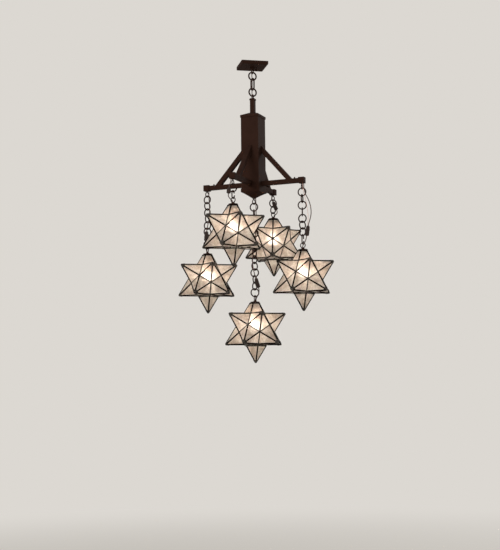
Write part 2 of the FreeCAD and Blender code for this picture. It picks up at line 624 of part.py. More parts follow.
def star_came(lines, latch):
    """The star's lines with the knuckles and the latch pin that carry its bottom point."""
    place = latch_place(latch)
    pin_top = Vector(place.x, place.y, -FACE_HEIGHT)
    added = [rod(pin_top, pin_top - Vector(0, 0, 2 * CAME_RADIUS + LATCH_PIN_DROP), LATCH_PIN_RADIUS)]
    start, end = hinge_line(latch)
    upper = base_corners(-FACE_HEIGHT)
    upper_start, upper_end = upper[(latch + 2) % 5], upper[(latch + 3) % 5]
    along = (end - start).normalize()
    half = along * (KNUCKLE_LENGTH / 2)
    bore_half = along * (KNUCKLE_LENGTH / 2 + CUT_OVERRUN)
    bores = []
    for share in KNUCKLE_SHARES:
        middle = start + (end - start) * share
        seat = upper_start + (upper_end - upper_start) * share
        added += [rod(middle - half, middle + half, KNUCKLE_RADIUS), rod(middle, seat, KNUCKLE_LUG_RADIUS)]
        bores.append(rod(middle - bore_half, middle + bore_half, CAME_RADIUS + HINGE_FIT))
    return lines.fuse(added).cut(bores[0].fuse(bores[1:]))


def door_came(latch):
    """The bottom point's own frame: its base, whose rod at the back is the hinge, and its five lines."""
    corners = base_corners(DOOR_BASE)
    tip = Vector(0, 0, -STAR_RADIUS)
    solids = [tip_solder(tip)]
    for k, corner in enumerate(corners):
        solids += [rod(corner, corners[k - 1], CAME_RADIUS), bar(corner, tip, 0, TIP_START)]
        solids.append(Part.makeSphere(CAME_RADIUS, corner))
    ring_radius = (LATCH_RING_OUTER - LATCH_RING_WIRE) / 2
    solids.append(Part.makeTorus(ring_radius, LATCH_RING_WIRE / 2, latch_place(latch), Vector(0, 0, 1)))
    return solids[0].fuse(solids[1:])


def pane(corners, insets):
    """A flat pane inside these corners, in from each side by its own inset, centred on their plane."""
    normal = (corners[1] - corners[0]).cross(corners[2] - corners[1]).normalize()
    sides = [(corners[(k + 1) % len(corners)] - c).normalize() for k, c in enumerate(corners)]
    moved = []
    for k, corner in enumerate(corners):
        before, after = sides[k - 1], sides[k]
        sine = normal.dot(before.cross(after))
        moved.append(corner + after * (insets[k - 1] / sine) - before * (insets[k] / sine))
    face = Part.Face(Part.makePolygon(moved + moved[:1]))
    face.translate(normal * (-PANE_THICKNESS / 2))
    return face.extrude(normal * PANE_THICKNESS)


def point_pane(p, q, tip, base_inset):
    """A pane from a point's base up to the solder at its end."""
    share = TIP_LENGTH / (STAR_RADIUS - p.dot(tip) / STAR_RADIUS)
    corners = [p, q, tip + (q - tip) * share, tip + (p - tip) * share]
    return pane(corners, [base_inset, PANE_INSET, TIP_PANE_GAP, PANE_INSET])


def star_panes(tips, crossings):
    """The panes of the eleven points that stay, five in each. The top point's are cut off below its cap."""
    panes = []
    for i, tip in enumerate(tips[:-1]):
        mine = [triple for triple in crossings if i in triple]
        for a, b in itertools.combinations(mine, 2):
            if len(set(a) & set(b)) < 2:
                continue
            p, q = crossings[a], crossings[b]
            if i:
                panes.append(point_pane(p, q, tip, PANE_INSET))
            else:
                upper = [at_height(q, tip, TOP_CUT_HEIGHT), at_height(p, tip, TOP_CUT_HEIGHT)]
                panes.append(pane([p, q] + upper, [PANE_INSET] * 4))
    return panes


def door_panes(latch):
    corners = base_corners(DOOR_BASE)
    tip = Vector(0, 0, -STAR_RADIUS)
    hinged = (latch + 3) % 5
    panes = []
    for k, corner in enumerate(corners):
        base_inset = KNUCKLE_RADIUS + PANE_GAP if k == hinged else PANE_INSET
        panes.append(point_pane(corners[k - 1], corner, tip, base_inset))
    return panes


def star_cap(loop_turn):
    """The cap over the cut top point, with its collar and loop, and the lampholder that it carries."""
    disc = Part.makeCylinder(CAP_RADIUS, CAP_HEIGHT, Vector(0, 0, CAP_BOTTOM))
    upper = [e for e in disc.Edges if abs(e.CenterOfMass.z - CAP_TOP) < AT_HEIGHT]
    disc = disc.makeChamfer(CAP_EDGE, upper)
    collar = Part.makeCone(CAP_COLLAR_RADIUS, CAP_COLLAR_TOP_RADIUS, CAP_COLLAR_HEIGHT, Vector(0, 0, CAP_TOP))
    facing = polar(1, loop_turn + 90)
    loop = Part.makeTorus(STAR_LOOP_RADIUS, STAR_LOOP_WIRE / 2, Vector(0, 0, STAR_LOOP_Z), facing)
    nipple = rod(Vector(0, 0, SOCKET_TOP), Vector(0, 0, CAP_BOTTOM), SOCKET_NIPPLE_RADIUS)
    cap = disc.fuse([collar, loop, nipple]).removeSplitter()
    holder = rod(Vector(0, 0, SOCKET_BOTTOM), Vector(0, 0, SOCKET_TOP), SOCKET_RADIUS)
    mouth = Vector(0, 0, SOCKET_BOTTOM + BULB_BASE_LENGTH + SEAT_GAP)
    holder = holder.cut(rod(Vector(0, 0, SOCKET_BOTTOM - CUT_OVERRUN), mouth, BULB_BASE_RADIUS + SEAT_GAP))
    return [cap, holder]


def bulb():
    """A small clear globe lamp with its screw base up in the lampholder."""
    top = Vector(0, 0, SOCKET_BOTTOM + BULB_BASE_LENGTH)
    shoulder = Vector(BULB_BASE_RADIUS, 0, SOCKET_BOTTOM)
    neck = Vector(BULB_BASE_RADIUS, 0, SOCKET_BOTTOM - BULB_LENGTH * BULB_NECK_SHARE)
    centre_z = SOCKET_BOTTOM - BULB_LENGTH + BULB_RADIUS
    side_angle = math.radians(BULB_SHOULDER_ANGLE)
    side = Vector(BULB_RADIUS * math.cos(side_angle), 0, centre_z + BULB_RADIUS * math.sin(side_angle))
    edges = [
        Part.makeLine(top, top + Vector(BULB_BASE_RADIUS, 0, 0)),
        Part.makeLine(top + Vector(BULB_BASE_RADIUS, 0, 0), shoulder),
        Part.makeLine(shoulder, neck),
        Part.makeLine(neck, side),
        Part.Arc(side, Vector(BULB_RADIUS, 0, centre_z), Vector(0, 0, centre_z - BULB_RADIUS)).toShape(),
        Part.makeLine(Vector(0, 0, centre_z - BULB_RADIUS), top),
    ]
    return Part.Face(Part.Wire(edges)).revolve(Vector(), Vector(0, 0, 1), 360)


def seen(right, near, z):
    """A place given to the right, towards the viewer and up, in the part's own frame."""
    return polar(right, VIEW_TURN, z) + polar(near, VIEW_TURN - 90)


def tube_path(points, name):
    """Straight runs joined by tangent arcs, each as large as its two runs allow. Prints the least radius."""
    edges, radii = [], []
    start = points[0]
    for before, corner, after in zip(points, points[1:], points[2:]):
        a, b = before - corner, after - corner
        half_turn = (math.pi - a.getAngle(b)) / 2
        trim = CORD_RUN_SHARE * min(a.Length, b.Length)
        radii.append(trim / math.tan(half_turn))
        a.normalize()
        b.normalize()
        first, last = corner + a * trim, corner + b * trim
        middle = corner + (a + b).normalize() * radii[-1] * (1 / math.cos(half_turn) - 1)
        edges += [Part.makeLine(start, first), Part.Arc(first, middle, last).toShape()]
        start = last
    edges.append(Part.makeLine(start, points[-1]))
    length = sum(e.Length for e in edges)
    print(f"{name}: {length:.0f} mm long, least radius {min(radii):.1f} mm")
    return edges, length


def cord(points, name, radius=CORD_RADIUS):
    edges, length = tube_path(points, name)
    tube = swept(edges, radius)
    print(f"{name}: volume is {tube.Volume / (math.pi * radius ** 2 * length):.4f} of section times length")
    return tube


def splice(upper, lower):
    """The moulded joint in a cord, a rounded block along the line between its ends."""
    length = (lower - upper).Length
    block = box(SPLICE_WIDTH, SPLICE_DEPTH, length, Vector(0, 0, length / 2))
    block = block.makeFillet(SPLICE_CORNER, [e for e in block.Edges if e.BoundBox.ZLength > SPLICE_WIDTH])
    block = turned(block, VIEW_TURN)
    leaning = FreeCAD.Placement(upper, Rotation(Vector(0, 0, 1), lower - upper))
    block.Placement = leaning.multiply(block.Placement)
    return block


def star_wiring(name, start_z, end_z):
    """A star's cord: from under its arm down past the chain to the splice, and on into the star's collar."""
    route = ROUTES[name]
    arms = Vector(0, 0, ARM_Z)
    upper, lower = (seen(*place) + arms for place in route["splice"])
    along = (lower - upper).normalize()
    above = [seen(*route["leave"], start_z), seen(*route["leave"], start_z - CORD_LEAVE)]
    above += [seen(*place) + arms for place in route["above"]] + [upper - along * SPLICE_LEAD, upper]
    below = [lower, lower + along * SPLICE_LEAD] + [seen(*place) + arms for place in route["below"]]
    turn = math.radians(STARS[name]["loop"])
    beside = CORD_ENTER_OFFSET * math.sin(turn), CORD_ENTER_OFFSET * math.cos(turn)
    below += [seen(*beside, end_z + CORD_ENTER), seen(*beside, end_z)]
    wiring = [cord(above, name + " cord above"), splice(upper, lower), cord(below, name + " cord below")]
    if "earth" in route:
        across = along.cross(seen(0, 1, 0)).normalize()
        end = upper + across * EARTH_WIRE_OFFSET
        earth = [seen(*route["earth_leave"], start_z), seen(*route["earth_leave"], start_z - CORD_LEAVE)]
        earth += [seen(*place) + arms for place in route["earth"]] + [end - along * SPLICE_LEAD, end]
        wiring.append(cord(earth, name + " earth wire", EARTH_WIRE_RADIUS))
    return wiring


def supply_wiring():
    route = ROUTES["supply"]
    start_z, end_z = COLLAR_BOTTOM - CORD_START_GAP, COLLAR_TOP + CORD_START_GAP
    points = [seen(*route["leave"], start_z), seen(*route["leave"], start_z - CORD_LEAVE)]
    points += [seen(*place) for place in route["above"]] + [seen(*route["enter"], end_z)]
    return cord(points, "supply cord")


def chain_of(star):
    """A chain's rings from the top down, the face it hangs from, and the height of the star's own loop."""
    face = COVER_BOTTOM if star["arm"] is None else ARM_Z - CUBE_SIDE / 2
    z = face - EYE_DROP - EYE_OUTER / 2 - pitch(EYE_RADIUS, EYE_WIRE, RING_RADIUS, RING_WIRE)
    step = pitch(RING_RADIUS, RING_WIRE, RING_RADIUS, RING_WIRE)
    solids = [ring(RING_RADIUS, RING_WIRE, z - k * step, plane) for k, plane in enumerate(star["planes"])]
    z -= (len(solids) - 1) * step
    radius, wire = RING_RADIUS, RING_WIRE
    if star["hook"]:
        radius, wire = (star["hook"] - HOOK_WIRE) / 2, HOOK_WIRE
        z -= pitch(RING_RADIUS, RING_WIRE, radius, wire)
        solids.append(hook_link(star["hook"], z, star["hook_plane"]))
    loop_z = z - pitch(radius, wire, STAR_LOOP_RADIUS, STAR_LOOP_WIRE)
    return solids, face, loop_z


def report_joint(name, place, plane):
    axis = polar(1, VIEW_TURN + plane)
    print(f"joint {name}: at {[round(v, 3) for v in place]}, along {[round(v, 5) for v in axis]}")


def hang_stars():
    tips = star_tips()
    crossings = star_crossings(tips)
    lines = star_lines(tips, crossings)
    panes = star_panes(tips, crossings)
    for name, star in STARS.items():
        across = Vector() if star["arm"] is None else polar(ARM_REACH, star["arm"])
        rings, face, loop_z = chain_of(star)
        centre = Vector(across.x, across.y, loop_z - STAR_LOOP_Z)
        turn = VIEW_TURN - 90 + star["turn"]

        def placed(shapes, by=turn):
            moved = [turned(shape, by) for shape in shapes]
            for shape in moved:
                shape.translate(centre)
            return moved

        for shape in rings:
            shape.translate(across)
        export(f"{name}_first_ring", rings[:1])
        export(f"{name}_chain", rings[1:])
        collar_top = centre.z + CAP_TOP + CAP_COLLAR_HEIGHT
        wiring = star_wiring(name, face - CORD_START_GAP, collar_top + CORD_START_GAP)
        for shape in wiring:
            shape.translate(across)
        export(f"{name}_cord", wiring)
        export(f"{name}_star_came", placed([star_came(lines, star["latch"])]))
        export(f"{name}_star_glass", placed(panes))
        export(f"{name}_star_cap", placed(star_cap(VIEW_TURN + star["loop"]), 0))
        export(f"{name}_bulb", placed([bulb()]))
        export(f"{name}_door_came", placed([door_came(star["latch"])]))
        export(f"{name}_door_glass", placed(door_panes(star["latch"])))
        eye_z = face - EYE_DROP - EYE_OUTER / 2
        ring_z = eye_z - pitch(EYE_RADIUS, EYE_WIRE, RING_RADIUS, RING_WIRE)
        report_joint(name + "_ring_swing", across + Vector(0, 0, eye_z - EYE_RADIUS), star["eye"])
        report_joint(name + "_chain_swing", across + Vector(0, 0, ring_z - RING_RADIUS), star["planes"][0])
        start, end = (turned(Part.Vertex(v), turn).Point + centre for v in hinge_line(star["latch"]))
        axis = (end - start).normalize()
        print(f"joint {name}_door: at {[round(v, 4) for v in (start + end) / 2]}, "
              f"along {[round(v, 6) for v in axis]}, star centre {[round(v, 3) for v in centre]}")


def main():
    os.makedirs("parts", exist_ok=True)
    export("ceiling_plate", ceiling_plate())
    export("mounting_strap", mounting_strap())
    export("canopy_loop", canopy_loop())
    export("top_ring_upper", ring(TOP_RING_RADIUS, TOP_RING_WIRE, UPPER_RING_Z, TOP_PLANES[0]))
    middle_link = oval_link(TOP_LINK_HEIGHT, TOP_LINK_WIDTH, TOP_LINK_WIRE, MIDDLE_LINK_Z, TOP_PLANES[1])
    export("top_link_middle", middle_link)
    export("top_ring_lower", ring(TOP_RING_RADIUS, TOP_RING_WIRE, LOWER_RING_Z, TOP_PLANES[2]))
    export("stem", stem())
    export("column", column())
    export("bottom_cover", bottom_cover())
    turns = [star["arm"] for star in STARS.values() if star["arm"] is not None]
    export("arms", [turned(arm(), a) for a in turns])
    export("end_cubes", [turned(end_cube(), a) for a in turns])
    export("struts", [turned(strut(), a) for a in turns])
    export("set_screws", [turned(set_screw(), a) for a in turns])
    eyes = []
    for star in STARS.values():
        eye = screw_eye(COVER_BOTTOM if star["arm"] is None else ARM_Z - CUBE_SIDE / 2, star["eye"])
        if star["arm"] is not None:
            eye.translate(polar(ARM_REACH, star["arm"]))
        eyes.append(eye)
    export("chain_eyes", eyes)
    export("supply_cord", supply_wiring())
    print(f"arm centre line {ARM_Z:.2f}, column {COLUMN_TOP:.2f} to {COLUMN_BOTTOM:.2f}, "
          f"cover's foot {COVER_BOTTOM:.2f}")
    top_joints = (
        ("upper_ring_swing", CANOPY_LOOP_CENTRE - CANOPY_LOOP_RADIUS, TOP_LOOP_PLANE),
        ("middle_link_swing", UPPER_RING_Z - TOP_RING_RADIUS, TOP_PLANES[0]),
        ("lower_ring_swing", MIDDLE_LINK_Z - TOP_LINK_HALF, TOP_PLANES[1]),
    )
    for name, z, plane in top_joints:
        report_joint(name, Vector(0, 0, z), plane)
    hang_stars()


main()
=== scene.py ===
import math

import bmesh
import bpy
from mathutils import Matrix, Vector, noise


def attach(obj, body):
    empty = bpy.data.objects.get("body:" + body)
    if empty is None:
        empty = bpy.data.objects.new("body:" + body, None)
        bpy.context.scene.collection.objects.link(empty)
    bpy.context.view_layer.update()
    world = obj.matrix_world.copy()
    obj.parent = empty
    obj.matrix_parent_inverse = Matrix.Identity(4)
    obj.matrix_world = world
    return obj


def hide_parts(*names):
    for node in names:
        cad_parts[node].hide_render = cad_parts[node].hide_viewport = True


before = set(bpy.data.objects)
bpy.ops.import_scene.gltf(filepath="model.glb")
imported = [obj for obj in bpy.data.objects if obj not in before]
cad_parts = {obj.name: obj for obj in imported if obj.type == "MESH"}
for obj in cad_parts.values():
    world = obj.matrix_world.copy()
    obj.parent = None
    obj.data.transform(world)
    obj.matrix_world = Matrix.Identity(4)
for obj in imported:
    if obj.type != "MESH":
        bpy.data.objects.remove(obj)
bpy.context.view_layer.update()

# A star chandelier with its lamps lit: dark bronze paint on the steelwork, patinated came and
# wispy white glass on five stars, brown cords beside the chains. The frame is in metres, +Z up,
# with the origin at the middle of the ceiling plate's top. Lengths below are millimetres, times
# MM where they are used.
MM = 0.001

# The view: degrees round from the arms, and the camera that the photograph was fitted with
VIEW_TURN = 22.8
CAMERA_DISTANCE = 4931.2
CAMERA_HEIGHT = -1438.8
CAMERA_LENS = 76.115
CAMERA_PAN = -0.0041        # radians, like the pitch and the roll
CAMERA_PITCH = 0.1045
CAMERA_ROLL = -0.0112
CAMERA_REACH = 60000.0

# The studio: its colour far off, its floor, and how far from the middle the floor fades
BACKDROP = "dcd8d2"
FLOOR_Z = -2350.0
FLOOR_RADIUS = 14000.0
FADE_START = 1200.0
FADE_END = 5000.0

# Lamps: the place to the right, towards the viewer and up, the width, and the power in watts
LAMPS = {
    "soft_key": ((-2600, 3200, 900), 2600, 52.0),
    "soft_rim": ((2600, -2600, 1100), 1800, 26.0),
}
LAMPS_AIM_Z = -750.0

# Heights of the places that the cords leave from and go to
ARM_Z = -530.3
ARM_FACE = -543.0
COVER_FOOT = -591.8
COLLAR_FOOT = -25.0
STEM_COLLAR_TOP = -152.8

# The cords: how they leave and enter the metal, their taped joints, and the earth wire
CORD_RADIUS = 1.9
CORD_START_GAP = 0.3
CORD_LEAVE = 9.0
CORD_ENTER = 8.0
CORD_ENTER_OFFSET = 4.5
SPLICE_LEAD = 8.0
SPLICE_HALF_WIDTH = 9.5
SPLICE_HALF_DEPTH = 5.5
EARTH_WIRE_RADIUS = 0.6
EARTH_WIRE_OFFSET = 3.5

# A star's sizes, with heights from its centre
STAR_RADIUS = 143.5
STAR_COLLAR_TOP = 121.1
CROSSING_RADIUS = 80.8
CROSSING_REACH = 6.0
TIP_LENGTH = 12.1
SOCKET_BOTTOM = 70.3
BULB_RADIUS = 19.8
BULB_LENGTH = 71.8
BULB_BASE_RADIUS = 6.4
BULB_BASE_LENGTH = 15.5

# Each star: its centre, its loop's plane in degrees from the view's plane, and its cord's length
STARS = {
    "right": {"centre": (220.7, 0.0, -940.7), "loop": -20.0, "cord": 290.0},
    "far": {"centre": (0.0, 220.7, -764.2), "loop": 40.0, "cord": 123.0},
    "left": {"centre": (-220.7, 0.0, -934.0), "loop": -70.0, "cord": 278.0},
    "near": {"centre": (0.0, -220.7, -763.9), "loop": -35.0, "cord": 109.0},
    "centre": {"centre": (0.0, 0.0, -1152.6), "loop": 108.0, "cord": 456.0},
}

# Routes of the cords: each place is to the right, towards the viewer and up from the point on
# the chain's axis at the arms' centre line, or from the ceiling for the supply cord. A place
# where a cord leaves or enters the metal takes its height from above. The splice lies between
# its two places.
ROUTES = {
    "right": {
        "leave": (7.5, 8.0),
        "above": ((8.0, 8.8, -38.0), (13.0, 11.5, -60.0), (25.5, 15.0, -84.0),
                  (34.5, 17.0, -112.0), (37.0, 19.0, -142.0), (32.0, 20.5, -168.0)),
        "splice": ((23.5, 21.0, -196.5), (15.7, 20.8, -241.0)),
        "below": ((11.0, 15.0, -260.0), (5.8, 9.0, -270.5)),
        "earth_leave": (3.2, 9.8),
        "earth": ((3.9, 10.6, -36.0), (6.5, 12.4, -56.0), (12.3, 13.6, -78.0),
                  (18.0, 14.0, -104.0), (21.8, 16.5, -132.0), (23.6, 19.0, -156.0),
                  (22.8, 20.5, -174.5)),
    },
    "far": {
        "leave": (-6.0, 8.5),
        "above": ((-5.0, 12.0, -28.0),),
        "splice": ((-0.5, 21.0, -45.0), (15.0, 25.5, -84.0)),
        "below": ((16.0, 15.5, -100.0),),
    },
    "left": {
        "leave": (7.5, 7.0),
        "above": ((8.0, 12.8, -42.0), (9.0, 18.5, -66.0), (10.5, 21.0, -94.0),
                  (10.0, 22.0, -122.0), (6.0, 22.5, -148.0), (1.5, 22.5, -170.0)),
        "splice": ((-2.5, 23.0, -191.0), (-6.0, 21.5, -235.5)),
        "below": ((-10.5, 15.0, -254.0), (-8.0, 7.6, -265.0)),
    },
    "near": {
        "leave": (-7.5, 7.8),
        "above": ((-11.0, 10.5, -33.0),),
        "splice": ((-15.5, 12.5, -50.0), (-18.5, 13.0, -77.0)),
        "below": ((-17.0, 12.0, -92.0), (-9.5, 8.5, -100.0)),
    },
    "centre": {
        "leave": (8.0, 7.0),
        "above": ((8.8, 8.6, -84.0), (9.0, 11.0, -108.0), (9.0, 11.5, -136.0),
                  (7.5, 13.0, -164.0), (6.5, 17.5, -191.0), (6.0, 22.0, -218.0),
                  (4.0, 22.5, -246.0), (-0.5, 20.5, -275.0), (-6.0, 19.0, -304.0),
                  (-9.0, 18.5, -332.0), (-7.5, 18.5, -358.0), (-3.0, 21.5, -382.0)),
        "splice": ((4.0, 24.5, -406.5), (15.5, 27.0, -449.5)),
        "below": ((17.5, 17.0, -467.0), (11.5, 6.5, -481.0)),
    },
    "supply": {
        "leave": (-2.6, 6.8),
        "above": ((-2.4, 7.4, -50.0), (-2.0, 7.8, -68.0), (-0.8, 8.8, -90.0),
                  (-2.0, 8.2, -112.0), (-2.8, 7.9, -134.0)),
        "enter": (-2.8, 7.7),
    },
}


def polar(radius, degrees, z=0.0):
    angle = math.radians(degrees)
    return Vector((radius * math.cos(angle), radius * math.sin(angle), z))


def seen(right, near, z):
    """A place given to the right, towards the viewer and up, in the part's own frame."""
    return polar(right, VIEW_TURN, z) + polar(near, VIEW_TURN - 90)


def linear(hex_colour):
    """An sRGB hex colour as linear red, green, blue and alpha."""
    channels = [int(hex_colour[k:k + 2], 16) / 255 for k in (0, 2, 4)]
    return [c / 12.92 if c <= 0.04045 else ((c + 0.055) / 1.055) ** 2.4 for c in channels] + [1.0]


# Materials

def new_material(name):
    material = bpy.data.materials.new(name)
    material.use_nodes = True
    material.node_tree.nodes.clear()
    return material, material.node_tree


def add(tree, kind, sockets=None, **settings):
    """Adds a node with its settings. Each socket, by name or number, takes a value or another
    node's output."""
    node = tree.nodes.new(kind)
    for name, value in settings.items():
        setattr(node, name, value)
    for name, value in (sockets or {}).items():
        if isinstance(value, bpy.types.NodeSocket):
            tree.links.new(value, node.inputs[name])
        else:
            node.inputs[name].default_value = value
    return node


def per_metre(size):
    """A texture's scale for features of this size in millimetres."""
    return 1 / (size * MM)


def bronze_paint():
    """Baked bronze paint on steel: dark red-brown, satin, a little cloudy from the spray, with
    the brown rubbed lighter and more coppery along the edges."""
    material, tree = new_material("bronze_paint_on_steel")
    place = add(tree, "ShaderNodeTexCoord").outputs["Object"]
    clouds = add(tree, "ShaderNodeTexNoise", {
        "Vector": place, "Scale": per_metre(38), "Detail": 4.0, "Roughness": 0.6})
    paint = add(tree, "ShaderNodeMix", {
        "Factor": clouds.outputs["Fac"], "A": linear("291a15"), "B": linear("412c24")},
        data_type="RGBA")
    rounded = add(tree, "ShaderNodeBevel", {"Radius": 1.1 * MM}, samples=4)
    flat = add(tree, "ShaderNodeNewGeometry")
    turned_away = add(tree, "ShaderNodeVectorMath", {
        0: rounded.outputs["Normal"], 1: flat.outputs["Normal"]}, operation="DOT_PRODUCT")
    rubs = add(tree, "ShaderNodeTexNoise", {
        "Vector": place, "Scale": per_metre(14), "Detail": 3.0})
    edge = add(tree, "ShaderNodeMapRange", {
        "Value": turned_away.outputs["Value"], "From Min": 0.985, "From Max": 0.88,
        "To Max": 0.75})
    worn = add(tree, "ShaderNodeMath", {
        0: edge.outputs["Result"], 1: rubs.outputs["Fac"]}, operation="MULTIPLY")
    colour = add(tree, "ShaderNodeMix", {
        "Factor": worn.outputs["Value"], "A": paint.outputs["Result"], "B": linear("6e4a39")},
        data_type="RGBA")
    peel = add(tree, "ShaderNodeTexNoise", {
        "Vector": place, "Scale": per_metre(2.2), "Detail": 2.0})
    bump = add(tree, "ShaderNodeBump", {
        "Height": peel.outputs["Fac"], "Normal": rounded.outputs["Normal"], "Strength": 0.12,
        "Distance": 0.4 * MM})
    sheen = add(tree, "ShaderNodeMapRange", {
        "Value": clouds.outputs["Fac"], "To Min": 0.56, "To Max": 0.74})
    surface = add(tree, "ShaderNodeBsdfPrincipled", {
        "Base Color": colour.outputs["Result"], "Roughness": sheen.outputs["Result"],
        "Metallic": 0.45, "Specular IOR Level": 0.15, "Specular Tint": linear("8c6c5c"),
        "Normal": bump.outputs["Normal"]})
    add(tree, "ShaderNodeOutputMaterial", {"Surface": surface.outputs["BSDF"]})
    return material


def zinc_plate():
    """Zinc-plated steel: pale grey with a fine crystal pattern and a soft shine."""
    material, tree = new_material("zinc_plated_steel")
    place = add(tree, "ShaderNodeTexCoord").outputs["Object"]
    spangle = add(tree, "ShaderNodeTexVoronoi", {"Vector": place, "Scale": per_metre(4)})
    colour = add(tree, "ShaderNodeMix", {
        "Factor": spangle.outputs["Distance"], "A": linear("a3a3a0"), "B": linear("c4c5c3")},
        data_type="RGBA")
    sheen = add(tree, "ShaderNodeMapRange", {
        "Value": spangle.outputs["Distance"], "To Min": 0.28, "To Max": 0.45})
    surface = add(tree, "ShaderNodeBsdfPrincipled", {
        "Base Color": colour.outputs["Result"], "Roughness": sheen.outputs["Result"],
        "Metallic": 1.0})
    add(tree, "ShaderNodeOutputMaterial", {"Surface": surface.outputs["BSDF"]})
    return material


def patinated_came(name, centre):
    """Soldered came with black patina: nearly black along the lines, and grey where the solder
    is thick, at the crossings and the points' ends of the star round this centre."""
    material, tree = new_material(f"patinated_came_{name}")
    place = add(tree, "ShaderNodeTexCoord").outputs["Object"]
    reach = add(tree, "ShaderNodeVectorMath", {0: place, 1: Vector(centre) * MM},
                operation="DISTANCE")
    mottle = add(tree, "ShaderNodeTexNoise", {
        "Vector": place, "Scale": per_metre(9), "Detail": 4.0, "Roughness": 0.65})
    patina = add(tree, "ShaderNodeMix", {
        "Factor": mottle.outputs["Fac"], "A": linear("070504"), "B": linear("1c1512")},
        data_type="RGBA")
    crossing = add(tree, "ShaderNodeMath", {
        0: reach.outputs["Value"], 1: CROSSING_RADIUS * MM, 2: CROSSING_REACH * MM},
        operation="COMPARE")
    tip = add(tree, "ShaderNodeMath", {
        0: reach.outputs["Value"], 1: (STAR_RADIUS - TIP_LENGTH) * MM},
        operation="GREATER_THAN")
    thick = add(tree, "ShaderNodeMath", {
        0: crossing.outputs["Value"], 1: tip.outputs["Value"]}, operation="MAXIMUM")
    bright = add(tree, "ShaderNodeMapRange", {
        "Value": mottle.outputs["Fac"], "From Min": 0.35, "From Max": 0.62, "To Max": 0.6})
    solder = add(tree, "ShaderNodeMath", {
        0: thick.outputs["Value"], 1: bright.outputs["Result"]}, operation="MULTIPLY")
    colour = add(tree, "ShaderNodeMix", {
        "Factor": solder.outputs["Value"], "A": patina.outputs["Result"], "B": linear("77726c")},
        data_type="RGBA")
    lumps = add(tree, "ShaderNodeBump", {
        "Height": mottle.outputs["Fac"], "Strength": 0.35, "Distance": 0.8 * MM})
    surface = add(tree, "ShaderNodeBsdfPrincipled", {
        "Base Color": colour.outputs["Result"], "Roughness": 0.6, "Metallic": 0.3,
        "Specular IOR Level": 0.1, "Specular Tint": linear("6c5c52"),
        "Normal": lumps.outputs["Normal"]})
    add(tree, "ShaderNodeOutputMaterial", {"Surface": surface.outputs["BSDF"]})
    return material


def wispy_glass():
    """Rolled art glass with white wisps in clear: milky and cream where the wisps are thick, a
    little brown and see-through between them, with a gently rippled shine. It blurs the bulb
    behind it into a soft bright patch with a halo: two rough refractions, with a lower IOR than
    the surface's shine, stand in for the scatter inside the glass. A ray that leaves a pane
    passes its far face freely, so each pane shows and filters light once."""
    pane_shift = (7.3, 4.1, 5.9)        # metres, so that no two panes share a patch of wisps
    glow_share, halo_share = 0.72, 0.5
    material, tree = new_material("wispy_art_glass")
    geometry = add(tree, "ShaderNodeNewGeometry")
    place = add(tree, "ShaderNodeTexCoord").outputs["Object"]
    own = add(tree, "ShaderNodeVectorMath", {
        0: geometry.outputs["Random Per Island"], 1: pane_shift, 2: place},
        operation="MULTIPLY_ADD")
    wisps = add(tree, "ShaderNodeTexNoise", {
        "Vector": own.outputs["Vector"], "Scale": per_metre(42), "Detail": 5.0,
        "Roughness": 0.55, "Distortion": 1.6})
    streaks = add(tree, "ShaderNodeTexNoise", {
        "Vector": own.outputs["Vector"], "Scale": per_metre(9), "Detail": 4.0,
        "Roughness": 0.6, "Distortion": 2.2})
    milk = add(tree, "ShaderNodeMix", {
        "Factor": 0.5, "A": wisps.outputs["Fac"], "B": streaks.outputs["Fac"]})
    density = add(tree, "ShaderNodeMapRange", {
        "Value": milk.outputs["Result"], "From Min": 0.38, "From Max": 0.60})
    colour = add(tree, "ShaderNodeMix", {
        "Factor": density.outputs["Result"], "A": linear("a3907f"), "B": linear("ebe5dc")},
        data_type="RGBA")
    through = add(tree, "ShaderNodeMapRange", {
        "Value": density.outputs["Result"], "To Min": 0.24, "To Max": 0.10})
    ripple = add(tree, "ShaderNodeTexNoise", {
        "Vector": own.outputs["Vector"], "Scale": per_metre(16), "Detail": 2.0})
    bump = add(tree, "ShaderNodeBump", {
        "Height": ripple.outputs["Fac"], "Strength": 0.25, "Distance": 1.0 * MM})
    glow = add(tree, "ShaderNodeBsdfTranslucent", {"Color": colour.outputs["Result"]})
    face = add(tree, "ShaderNodeBsdfDiffuse", {"Color": colour.outputs["Result"]})
    milky = add(tree, "ShaderNodeMixShader", {
        0: glow_share, 1: face.outputs[0], 2: glow.outputs[0]})
    blur = add(tree, "ShaderNodeBsdfRefraction", {
        "Color": linear("e8ddd4"), "Roughness": 1.0, "IOR": 1.15})
    halo = add(tree, "ShaderNodeBsdfRefraction", {
        "Color": linear("f2e6d8"), "Roughness": 1.0, "IOR": 1.34})
    clear = add(tree, "ShaderNodeMixShader", {
        0: halo_share, 1: blur.outputs[0], 2: halo.outputs[0]})
    body = add(tree, "ShaderNodeMixShader", {
        0: through.outputs["Result"], 1: milky.outputs[0], 2: clear.outputs[0]})
    shine = add(tree, "ShaderNodeBsdfGlossy", {
        "Roughness": 0.12, "Normal": bump.outputs["Normal"]})
    fresnel = add(tree, "ShaderNodeFresnel", {"IOR": 1.52, "Normal": bump.outputs["Normal"]})
    near_side = add(tree, "ShaderNodeMixShader", {
        0: fresnel.outputs["Fac"], 1: body.outputs[0], 2: shine.outputs[0]})
    far_side = add(tree, "ShaderNodeBsdfTransparent")
    surface = add(tree, "ShaderNodeMixShader", {
        0: geometry.outputs["Backfacing"], 1: near_side.outputs[0], 2: far_side.outputs[0]})
    add(tree, "ShaderNodeOutputMaterial", {"Surface": surface.outputs[0]})
    return material


